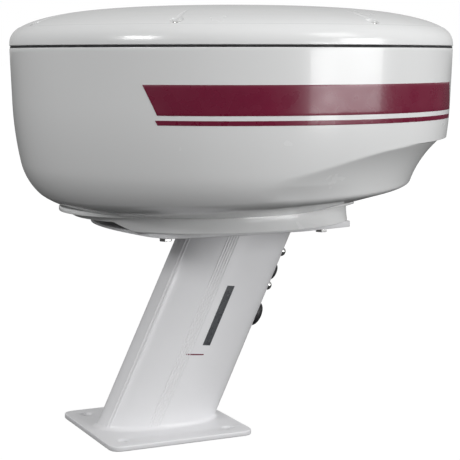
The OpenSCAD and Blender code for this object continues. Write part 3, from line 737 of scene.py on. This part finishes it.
def build_cover():
    """The cover: a shallow superellipse with a creased band at its rim, seven sunk screw pockets and a
    tapering groove from each towards the middle, cut out of the height at every point."""
    sizes = settings("cover")
    rise = COVER_HIGH[2] - COVER_LOW[2]
    low = COVER_LOW[2]
    turn = cover_columns()
    fraction = np.linspace(0.02, 0.44, 17)
    band = DOME_R * (1 - fraction**COVER_POWER) ** (1 / COVER_POWER)
    close = np.arange(band[-1] - 0.5, 226, -0.5)
    rest = 226 * (1 - np.linspace(0, 1, 44)[1:] ** 0.9)
    radius = np.concatenate([band, close, rest])
    height = low + cover_height(radius, DOME_R, rise)
    height[: len(band)] = low + rise * fraction
    radius, height = radius[:, None] * np.ones(len(turn)), height[:, None] * np.ones(len(turn))
    inside_crease = sizes.crease_radius / MM - radius
    crease = smooth_step(inside_crease / 1.1) * (1 - smooth_step((inside_crease - 8) / 70))
    height -= sizes.crease / MM * crease
    step = 2 * np.pi / sizes.screws
    offset = (turn - np.pi + step / 2) % step - step / 2
    along, across = radius * np.cos(offset) - SCREW_CIRCLE, radius * np.sin(offset)
    groove = np.clip((-along - 4) / (sizes.groove_length / MM), 0, 1)
    reach = 0.4 + 3.6 * (1 - groove)
    cut = (1 - groove) ** 0.8 * np.clip(1 - np.abs(across) / reach, 0, 1) * (along < -4) * (groove < 1)
    height -= sizes.groove_depth / MM * cut
    from_screw = np.hypot(along, across)
    pocket = smooth_step((sizes.pocket_radius / MM + 0.7 - from_screw) / 1.1)
    height = height * (1 - pocket) + np.minimum(height, POCKET_Z) * pocket
    ones = np.ones((1, len(turn)))
    edge = [(DOME_R - 4.6, low + 4), (FLANGE_R, low + 4), (FLANGE_R, low)]
    edge += [(DOME_R - 0.9, low), (DOME_R - 0.25, low + 0.25), (DOME_R, low + 0.8)]
    inner_r = (DOME_R - COVER_WALL) * (1 - np.linspace(0, 1, 30)[:, None] ** 1.6) * ones
    inner_z = low + 0.02 + cover_height(inner_r, DOME_R - COVER_WALL + 0.01, rise - COVER_WALL)
    inner_z = np.minimum(inner_z, low + rise - COVER_WALL)
    inner_z[0] = low + 4
    inner_r[0] = DOME_R - 4.5
    all_r = np.vstack([inner_r[::-1]] + [r * ones for r, _ in edge] + [radius])
    all_z = np.vstack([inner_z[::-1]] + [h * ones for _, h in edge] + [height])
    points = np.stack([DOME_X + all_r * np.cos(turn), all_r * np.sin(turn), all_z], -1)
    surface = Surface()
    surface.grid(points)
    surface.piece("cover_shell", "gelcoat", "cover", ["cover"], 38)


def socket_screw(surface, profile, hex_r, hex_depth, place, middle=(0.0, 0.0)):
    """A turned head with a six-sided socket. The socket's outline is a hexagon's radius at each angle,
    and the rows blend from it to the head's round profile."""
    columns = 48
    turn = np.linspace(0, 2 * np.pi, columns, endpoint=False)
    six = hex_r * math.cos(math.pi / 6) / np.cos((turn + math.pi / 6) % (math.pi / 3) - math.pi / 6)
    top = profile[0][1]
    ones = np.ones(columns)
    rows_r = [0 * ones, six * 0.97, six, six * 1.06] + [r * ones for r, _ in profile] + [0 * ones]
    heights = [top - hex_depth - 0.5, top - hex_depth, top - 0.12, top]
    heights += [h for _, h in profile] + [profile[-1][1]]
    points = ring_of(np.array(rows_r), np.array(heights)[:, None] * ones, columns, middle)
    surface.grid(points if place is None else place(points))


def build_cover_screws():
    """Captive socket screws at the bottom of the pockets, each with a thin washer face."""
    surface = Surface()
    head = [(r, POCKET_Z + h) for r, h in ((3.6, 3.4), (4.7, 3.3), (5.1, 2.8), (5.2, 2.2), (5.2, 0))]
    top, tip = POCKET_Z - 0.2, RIM_Z - 20
    shank = [(0, top), (3, top), (3, tip + 1), (2.4, tip), (0, tip)]
    for middle in around_cover():
        socket_screw(surface, head, 2.6, 1.9, None, middle)
        lathe(surface, shank, 24, middle)
    surface.piece("cover_screw_set", "stainless", "cover", ["cover_screws"])


def build_seal():
    """The seal between the halves: a flat ring whose outer edge bulges a little."""
    surface = Surface()
    outer, inner, low, high = SEAL_HIGH[1], 250.5, SEAL_LOW[2], SEAL_HIGH[2]
    profile = [(inner, low), (outer - 0.5, low), (outer, low + 0.7)]
    profile += [(r, low + high - z) for r, z in profile[::-1]]
    lathe(surface, profile, 288, (DOME_X, 0), closed=True)
    surface.piece("seal_ring", "seal_rubber", "fixed", ["casing_seal"])


# ---------- stripes on the bowl ----------


def stripe(surface, side, low, high, slant):
    """A thin closed strip that follows the bowl's side. Its ends slant with height, and it is as thick as
    the film: two grids over angle and height, joined round all four edges."""
    sizes = settings("stripe")
    rows = np.linspace(low, high, 12)
    lean = slant * (rows - low) / DOME_R
    share = np.linspace(0, 1, 150)
    turn = (sizes.first + lean)[:, None] + share * (sizes.span - 0.10)
    turn = side * turn
    layers = []
    for out, grow in ((0.05, 0), (sizes.film / MM * 0.8, 0), (sizes.film / MM, 0.25)):
        z = rows[:, None] + grow * np.linspace(1, -1, 12)[:, None] + 0 * turn
        radius = side_radius(z) + out
        layers.append(np.stack([DOME_X + radius * np.cos(turn), radius * np.sin(turn), z], -1))
    closed_film(surface, layers)


def build_stripes():
    """A broad stripe over a narrow one on each side of the bowl, with slanted ends and no lettering."""
    surface = Surface()
    for side in (-1, 1):
        stripe(surface, side, BAND_LOW[2] + 11, BAND_HIGH[2] - 2, 0.5)
        stripe(surface, side, BAND_LOW[2] + 1, BAND_LOW[2] + 6, 0.5)
    surface.piece("side_stripes", "band_maroon", "fixed", ["side_band"])


# ---------- tower ----------


def tube_axes():
    """The tube's own axes: across its long side, and up along it."""
    rake = settings("tower").rake
    return np.array([math.cos(rake), 0, -math.sin(rake)]), np.array([math.sin(rake), 0, math.cos(rake)])


def tube_section(columns, inward=0.0, ribs=True):
    """The oval section. Fine ribs are raised cosines at set places across the long side."""
    sizes = settings("tower")
    half_x, half_y = sizes.half_length / MM - inward, sizes.half_width / MM - inward
    turn = np.linspace(0, 2 * np.pi, columns, endpoint=False)
    u, v = half_x * np.cos(turn), half_y * np.sin(turn)
    if ribs:
        height = np.zeros(columns)
        for place in (-23.5, -20.6, -17.7, -14.8, -11.9, -62.6, -60.4):
            height += 0.5 + 0.5 * np.cos(np.clip((u - place) / 1.0, -1, 1) * np.pi)
        normal = np.stack([u / half_x**2, v / half_y**2])
        normal /= np.linalg.norm(normal, axis=0)
        u, v = (np.stack([u, v]) + normal * height * sizes.rib / MM)
    return u, v


def tube_points(u, v, heights):
    """Points of the section carried along the tube to level cuts at the given heights."""
    across, along = tube_axes()
    reach = (np.array(heights)[:, None] - PLATE_T - u * across[2]) / along[2]
    origin = np.array([0, 0, PLATE_T])
    return origin + u[None, :, None] * across + v[None, :, None] * [0, 1, 0] + reach[..., None] * along


def build_tube():
    """The tower tube: the ribbed oval outside and the plain oval inside, joined at both level ends."""
    sizes = settings("tower")
    columns = 1100
    low, high = PLATE_T, TOP_LOW[2]
    outer = tube_points(*tube_section(columns), np.linspace(low, high, 24))
    inner = tube_points(*tube_section(columns, sizes.wall / MM, ribs=False), np.linspace(high, low, 8))
    surface = Surface()
    surface.grid(np.vstack([outer, inner]), round_rows=True)
    surface.piece("tube_extrusion", "powder_white", "fixed", ["tower_tube"], 45)


def build_weld(surface, level, up):
    """A weld fillet round the tube at a level: a hollow curve from the plate to the tube, its leg rippled
    by the passes of the torch, closed by a strip inside the tube's wall."""
    leg = settings("tower").weld / MM
    columns = 480
    turn = np.linspace(0, 2 * np.pi, columns, endpoint=False)
    ripple = 1 + 0.035 * np.sin(96 * turn) + 0.05 * np.sin(7 * turn + 1) + 0.03 * np.sin(17 * turn)
    u, v = tube_section(columns, ribs=False)

    def toe(rise, grow):
        ring = tube_points(u, v, [level + up * rise])[0]
        middle = ring.mean(0)
        scale = 1 + grow / np.hypot(*(ring - middle)[:, :2].T)
        return middle + (ring - middle) * np.stack([scale, scale, np.ones(columns)], -1)

    head = leg * 1.05
    foot_toe = toe(0, leg * ripple)
    bend = bend_between(foot_toe, toe(leg * 0.16, 0.5), toe(head, 0.1), 8)
    rows = [foot_toe - [0, 0, up * 0.4], *bend, toe(head, -1.5), toe(-0.4, -1.5)]
    surface.grid(np.stack(rows), round_rows=True)


def build_welds():
    """The fillets at the base plate and under the top plate."""
    surface = Surface()
    build_weld(surface, PLATE_T, 1)
    build_weld(surface, TOP_LOW[2], -1)
    surface.piece("tower_welds", "powder_white", "fixed", sharp=60)


def rounded(points, radius, steps=8):
    """Rounds the corners of a polygon: each becomes an arc between the points where it leaves its sides."""
    points = np.array(points, float)
    before, after = np.roll(points, 1, 0), np.roll(points, -1, 0)
    a = (before - points) / np.linalg.norm(before - points, axis=1)[:, None]
    b = (after - points) / np.linalg.norm(after - points, axis=1)[:, None]
    half = np.arccos(np.clip((a * b).sum(1), -1, 1)) / 2
    reach = np.minimum(radius / np.tan(half), 0.45 * np.linalg.norm(after - points, axis=1))
    t = np.linspace(0, 1, steps)[None, :, None]
    p, q = points + a * reach[:, None], points + b * reach[:, None]
    arc = (1 - t) ** 2 * p[:, None] + 2 * t * (1 - t) * points[:, None] + t**2 * q[:, None]
    return arc.reshape(-1, 2)


def shrunk(outline, inward):
    """The outline moved in along its normals, which come from its neighbours."""
    side = np.roll(outline, -1, 0) - np.roll(outline, 1, 0)
    side /= np.maximum(np.linalg.norm(side, axis=1), 1e-9)[:, None]
    return outline + inward * np.stack([-side[:, 1], side[:, 0]], -1)


def at_height(loop, z):
    """A plan loop as points at a height."""
    return np.column_stack([loop, np.full(len(loop), z)])


def circle_points(middle, radius, turn):
    """Plan points at the given angles of a circle."""
    return np.stack([middle[0] + radius * np.cos(turn), middle[1] + radius * np.sin(turn)], -1)


def circle(middle, radius, columns=48):
    """A whole plan circle."""
    return circle_points(middle, radius, np.linspace(0, 2 * np.pi, columns, endpoint=False))


def plate(surface, outline, low, high, edge, holes=()):
    """A plate with rounded edges and turned holes. Its rim runs through quarter arcs at both faces; each
    hole is a middle and rows of radius and height from the lower face to the upper; the faces are filled."""
    bend = np.linspace(0, np.pi / 2, 5)
    rows = [(edge * (1 - math.sin(b)), low + edge * (1 - math.cos(b))) for b in bend]
    rows += [(inward, high + low - z) for inward, z in rows[::-1]]
    rings = [at_height(shrunk(outline, inward), z) for inward, z in rows]
    surface.grid(np.stack(rings))
    bores = [np.stack([at_height(circle(middle, r), z) for r, z in profile]) for middle, profile in holes]
    for bore in bores:
        surface.grid(bore)
    surface.flat(rings[0], *[bore[0] for bore in bores])
    surface.flat(rings[-1], *[bore[-1] for bore in bores])


DECK_HOLE, HOLE_R, CABLE_R = 65, 4.5, 24
BOLT_MIDDLE, BOLT_X, BOLT_Y, CABLE_X = 85, 100, 70, 110
BACK_X, BACK_RISE = -28.0, 5.5 / 52
BACK_MIDDLE, BACK_R, BACK_HALF = 150, 216, 95


def build_base_plate():
    """The square base plate: rounded corners and edges, countersunk deck holes, and a cable hole."""
    edge = settings("tower").edge / MM
    side = PLATE_HIGH[0]
    square = rounded([(-side, -side), (side, -side), (side, side), (-side, side)], 15)
    depths = ((4.5, 2.6), (4.7, 2.4), (7.4, 0.35), (7.9, 0.08), (8.4, 0))
    sink = [(HOLE_R, 0.0)] + [(r, PLATE_T - depth) for r, depth in depths]
    holes = [((x, y), sink) for x in (-DECK_HOLE, DECK_HOLE) for y in (-DECK_HOLE, DECK_HOLE)]
    holes.append(((0, 0), [(CABLE_R, 0.0), (CABLE_R, PLATE_T)]))
    surface = Surface()
    plate(surface, square, 0.0, PLATE_T, edge, holes)
    surface.piece("base_plate_coated", "powder_white", "fixed", ["base_plate"])




def build_top_plate():
    """The top plate: a wide arc at the back, sides that draw in to a straight front, and its holes. Behind
    a line across it the underside rises in a flat slope to a thinner edge."""
    edge = settings("tower").edge / MM * 0.6
    half = math.asin(BACK_HALF / BACK_R)
    turn = np.linspace(np.pi - half, np.pi + half, 60)
    back = circle_points((BACK_MIDDLE, 0), BACK_R, turn)
    front = [(-20, -106), (10, -111), (66, -113), (140, -110), (212, -93)]
    front = rounded([back[-1], *front, *[(x, -y) for x, y in front[::-1]], back[0]], 5)[8:-8]
    outline = np.vstack([back, front])
    for side in (-1, 1):
        near = np.argmin(np.abs(outline[:, 0] - BACK_X) + 1000 * (outline[:, 1] * side < 0))
        outline[near, 0] = BACK_X
    bend = np.linspace(0, np.pi / 2, 5)
    rows = [(edge * (1 - math.sin(b)), edge * (1 - math.cos(b))) for b in bend]
    lift = np.maximum(BACK_X - outline[:, 0], 0) * BACK_RISE
    rings = [at_height(shrunk(outline, i), TOP_LOW[2] + z) + lift[:, None] * [0, 0, 1] for i, z in rows]
    rings += [at_height(shrunk(outline, i), TOP_HIGH[2] - z) for i, z in rows[::-1]]
    places = [((BOLT_MIDDLE + x, y), HOLE_R) for x in (-BOLT_X, BOLT_X) for y in (-BOLT_Y, BOLT_Y)]
    places.append(((CABLE_X, 0), CABLE_R))
    bores = [[at_height(circle(p, r), z) for z in (TOP_LOW[2], TOP_HIGH[2])] for p, r in places]
    surface = Surface()
    surface.grid(np.stack(rings))
    for bore in bores:
        surface.grid(np.stack(bore))
    ahead = outline[:, 0] >= BACK_X
    surface.flat(rings[0][ahead], *[bore[0] for bore in bores])
    surface.flat(rings[0][outline[:, 0] <= BACK_X])
    surface.flat(rings[-1], *[bore[1] for bore in bores])
    surface.piece("top_plate_coated", "powder_white", "fixed", ["top_plate"], 50)


def on_front_edge(reach):
    """Carries points from a flat place to the tube's front edge at a distance along it: heights point out
    of the edge, and what lies low bends down with the oval."""
    across, along = tube_axes()
    sizes = settings("tower")
    half_x, half_y = sizes.half_length / MM, sizes.half_width / MM

    def carried(points):
        drop = half_x * (1 - np.sqrt(np.clip(1 - (points[..., 1] / half_y) ** 2, 0, 1)))
        share = np.clip(1 - points[..., 2] / 7, 0, 1) * (points[..., 2] > -6)
        out = half_x + points[..., 2] - drop * share
        origin = np.array([0, 0, PLATE_T])
        return (
            origin + out[..., None] * across + points[..., 1:2] * np.array([0, 1, 0])
            + (reach - points[..., 0:1]) * along
        )

    return carried


def build_front_fittings():
    """Dome-head screws and two lens-shaped rubber plugs on the tube's front edge."""
    screws = Surface()
    bend = np.linspace(0.42, np.pi / 2, 10)
    dome = [(5.5 * math.sin(b), 2.6 + 4.2 * math.cos(b)) for b in bend]
    dome += [(5.6, 1.2), (5.5, 0.0), (3.0, -0.2), (3.0, -8.0)]
    for reach in (202.5, 247.5):
        socket_screw(screws, dome, 2.0, 1.8, on_front_edge(reach))
    screws.piece("dome_screws", "stainless", "fixed", ["front_screws"])
    for name, node, reach, radius, height, bore in (
        ("blanking_plug", "small_plug", 220.5, 10.5, 4.4, 6.9),
        ("cable_plug_cap", "cable_plug", 164.5, 15, 6.5, 9.9),
    ):
        bend = np.linspace(0, np.pi / 2, 12)
        lens = [(radius * math.sin(b) ** 0.85, height * (0.22 + 0.78 * math.cos(b))) for b in bend]
        lens += [(radius + 0.15, 0.5), (radius, 0.0), (radius - 0.8, -0.3), (bore, -0.4), (bore, -8), (0, -8)]
        plug = Surface()
        lathe(plug, lens, 56, place=on_front_edge(reach))
        plug.piece(name, "plug_rubber", "fixed", [node])


def film_on_tube(surface, corners, thick=0.3):
    """A four-cornered strip of film on the tube's near side: a grid between its corners in the tube's own
    u and s, lifted off the oval by its thickness, with a rim down to the tube."""
    across, along = tube_axes()
    sizes = settings("tower")
    a, b, c, d = (np.array(p, float) for p in corners)
    p, q = np.linspace(0, 1, 60)[:, None, None], np.linspace(0, 1, 14)[None, :, None]
    place = (a * (1 - q) + b * q) * (1 - p) + (d * (1 - q) + c * q) * p
    layers = []
    for lift in (0.05, thick):
        half_x, half_y = sizes.half_length / MM + lift, sizes.half_width / MM + lift
        u, s = place[..., 0], place[..., 1]
        v = -half_y * np.sqrt(1 - (u / half_x) ** 2)
        off_axis = u[..., None] * across + v[..., None] * [0, 1, 0]
        layers.append(np.array([0, 0, PLATE_T]) + off_axis + s[..., None] * along)
    closed_film(surface, layers)


def build_tube_films():
    """A plain dark bar along the tube and a short red line under it, in place of printed marks."""
    bar, line = Surface(), Surface()
    film_on_tube(bar, [(-1.5, 105), (7.5, 108), (7.5, 184), (-1.5, 181)])
    film_on_tube(line, [(-16, 87), (4.5, 94.5), (4.5, 96), (-16, 88.5)])
    bar.piece("tube_bar", "label_grey", "fixed", ["tube_label"])
    line.piece("tube_line", "band_maroon", "fixed")


# ---------- CAD nodes that keep their shape ----------

PLAIN_EDGES = {"drive_belt", "motor_pulley", "driven_pulley", "antenna_array"}


def finish_cad_nodes():
    """Gives every CAD node its slot's material, and a fine bevel on its edges where they are few."""
    for name, node in NODES.items():
        if node.hide_render:
            continue
        node.data.materials.clear()
        node.data.materials.append(finish_for(SLOTS[name]))
        if name in PLAIN_EDGES:
            continue
        weld = node.modifiers.new("Weld", "WELD")
        weld.merge_threshold = 1e-6
        clean = node.modifiers.new("Flat faces", "DECIMATE")
        clean.decimate_type = "DISSOLVE"
        clean.angle_limit = math.radians(0.5)
        bevel = node.modifiers.new("Edges", "BEVEL")
        bevel.width = 0.00035
        bevel.segments = 2
        bevel.limit_method = "ANGLE"
        bevel.angle_limit = math.radians(38)


# ---------- stage ----------


def build_stage():
    """A wide pale floor, a pale world that is dimmer from below, five soft lights and the camera."""
    scene = bpy.context.scene
    scene.view_settings.view_transform = "Standard"
    rows, columns = 24, 96
    radius = np.linspace(0, 1, rows) ** 2 * 60000
    surface = Surface()
    surface.grid(ring_of(radius, np.zeros(rows), columns))
    surface.flat(ring_of(np.array([60000.0]), np.array([-1.0]), columns)[0])
    mesh = bpy.data.meshes.new("floor")
    mesh.from_pydata((np.vstack(surface.points) * MM).tolist(), [], surface.faces)
    floor = bpy.data.objects.new("floor", mesh)
    scene.collection.objects.link(floor)
    pale = Finish("pale_floor", (0.04, 0.04, 0.04), 0.9)
    pale.shader.inputs["Emission Color"].default_value = (1, 1, 1, 1)
    ray = pale.nodes.new("ShaderNodeLightPath")
    seen_by_camera = pale.between(ray.outputs["Is Camera Ray"], 0, 1, 0.0, 0.96)
    pale.links.new(seen_by_camera, pale.shader.inputs["Emission Strength"])
    mesh.materials.append(pale.material)

    world = bpy.data.worlds.new("studio")
    world.use_nodes = True
    scene.world = world
    nodes, links = world.node_tree.nodes, world.node_tree.links
    background = next(n for n in nodes if n.type == "BACKGROUND")
    background.inputs["Color"].default_value = (1, 1, 1, 1)
    seen = nodes.new("ShaderNodeBackground")
    seen.inputs["Color"].default_value = (1, 1, 1, 1)
    place = nodes.new("ShaderNodeTexCoord")
    split = nodes.new("ShaderNodeSeparateXYZ")
    links.new(place.outputs["Generated"], split.inputs["Vector"])
    ramp = nodes.new("ShaderNodeMapRange")
    ramp.inputs["From Min"].default_value, ramp.inputs["From Max"].default_value = -0.1, 0.9
    ramp.inputs["To Min"].default_value, ramp.inputs["To Max"].default_value = 0.42, 0.60
    links.new(split.outputs["Z"], ramp.inputs["Value"])
    links.new(ramp.outputs["Result"], background.inputs["Strength"])
    path = nodes.new("ShaderNodeLightPath")
    mix = nodes.new("ShaderNodeMixShader")
    links.new(path.outputs["Is Camera Ray"], mix.inputs["Fac"])
    links.new(background.outputs["Background"], mix.inputs[1])
    links.new(seen.outputs["Background"], mix.inputs[2])
    links.new(mix.outputs["Shader"], next(n for n in nodes if n.type == "OUTPUT_WORLD").inputs["Surface"])

    middle = Vector((0.08, 0.0, 0.36))
    right, ahead, up = Vector((0.904, -0.427, 0)), Vector((0.427, 0.904, 0)), Vector((0, 0, 1))
    for name, place, size, power in (
        ("key", right * 1.7 - ahead * 1.1 + up * 1.5, 0.9, 8.5),
        ("low_key", right * 1.9 - ahead * 0.9 + up * 0.25, 0.9, 15.5),
        ("low_right", right * 1.5 - ahead * 1.5 - up * 0.06, 0.55, 6.5),
        ("fill", right * -1.5 - ahead * 1.5 + up * 0.9, 0.6, 15.0),
        ("top", up * 2.2 - ahead * 0.2, 2.0, 0.8),
    ):
        light = bpy.data.lights.new(name, "AREA")
        light.size, light.energy = size, power
        lamp = bpy.data.objects.new(name, light)
        lamp.location = middle + place
        lamp.rotation_euler = (-place).to_track_quat("-Z", "Y").to_euler()
        scene.collection.objects.link(lamp)

    camera = bpy.data.objects.new("camera", bpy.data.cameras.new("camera"))
    camera.data.lens, camera.data.sensor_width = 108.6, 36
    camera.location = (-0.6114, -1.5036, 0.4385)
    camera.rotation_euler = (math.radians(90 - 7.126), 0, -math.radians(25.26))
    camera.data.clip_end = 200
    scene.collection.objects.link(camera)
    scene.camera = camera


# ---------- operators and panel ----------


class RADAR_OT_bowl(bpy.types.Operator):
    """Build the bowl and the foot under it"""

    bl_idname = "radar.bowl"
    bl_label = "Lower casing"

    def execute(self, context):
        build_bowl()
        build_foot()
        return {"FINISHED"}


class RADAR_OT_cover(bpy.types.Operator):
    """Build the cover, its screws, its bosses and the seal"""

    bl_idname = "radar.cover"
    bl_label = "Cover"

    def execute(self, context):
        build_cover()
        build_cover_screws()
        build_screw_bosses()
        build_seal()
        return {"FINISHED"}


class RADAR_OT_stripes(bpy.types.Operator):
    """Lay the coloured stripes on the bowl"""

    bl_idname = "radar.stripes"
    bl_label = "Stripes"

    def execute(self, context):
        build_stripes()
        return {"FINISHED"}


class RADAR_OT_tower(bpy.types.Operator):
    """Build the tube, its welds, both plates, its fittings and films"""

    bl_idname = "radar.tower"
    bl_label = "Tower"

    def execute(self, context):
        build_tube()
        build_welds()
        build_base_plate()
        build_top_plate()
        build_front_fittings()
        build_tube_films()
        return {"FINISHED"}


class RADAR_OT_inside(bpy.types.Operator):
    """Finish the CAD nodes that keep their shape"""

    bl_idname = "radar.inside"
    bl_label = "Inside parts"

    def execute(self, context):
        finish_cad_nodes()
        return {"FINISHED"}


class RADAR_OT_stage(bpy.types.Operator):
    """Set the floor, the lights and the camera"""

    bl_idname = "radar.stage"
    bl_label = "Stage"

    def execute(self, context):
        build_stage()
        return {"FINISHED"}


OPERATORS = [RADAR_OT_stage, RADAR_OT_bowl, RADAR_OT_cover, RADAR_OT_stripes, RADAR_OT_tower, RADAR_OT_inside]


class RADAR_PT_build(bpy.types.Panel):
    """Lists the operators and the sizes"""

    bl_label = "Radar dome"
    bl_idname = "RADAR_PT_build"
    bl_space_type = "VIEW_3D"
    bl_region_type = "UI"
    bl_category = "Radar dome"

    def draw(self, context):
        for made in OPERATORS:
            self.layout.operator(made.bl_idname)
        for name, group in GROUPS.items():
            box = self.layout.box()
            for prop in group.__annotations__:
                box.prop(getattr(context.scene, name), prop)


CLASSES = [*GROUPS.values(), *OPERATORS, RADAR_PT_build]


def register():
    """Registers the classes and hangs the property groups on the scene."""
    for made in CLASSES:
        bpy.utils.register_class(made)
    for name, group in GROUPS.items():
        setattr(bpy.types.Scene, name, PointerProperty(type=group))


def unregister():
    """Takes the groups and classes away again."""
    for name in GROUPS:
        delattr(bpy.types.Scene, name)
    for made in reversed(CLASSES):
        bpy.utils.unregister_class(made)


def main():
    """Registers the add-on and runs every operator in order."""
    register()
    for made in OPERATORS:
        getattr(bpy.ops.radar, made.bl_idname.split(".")[1])()


if __name__ == "__main__":
    main()
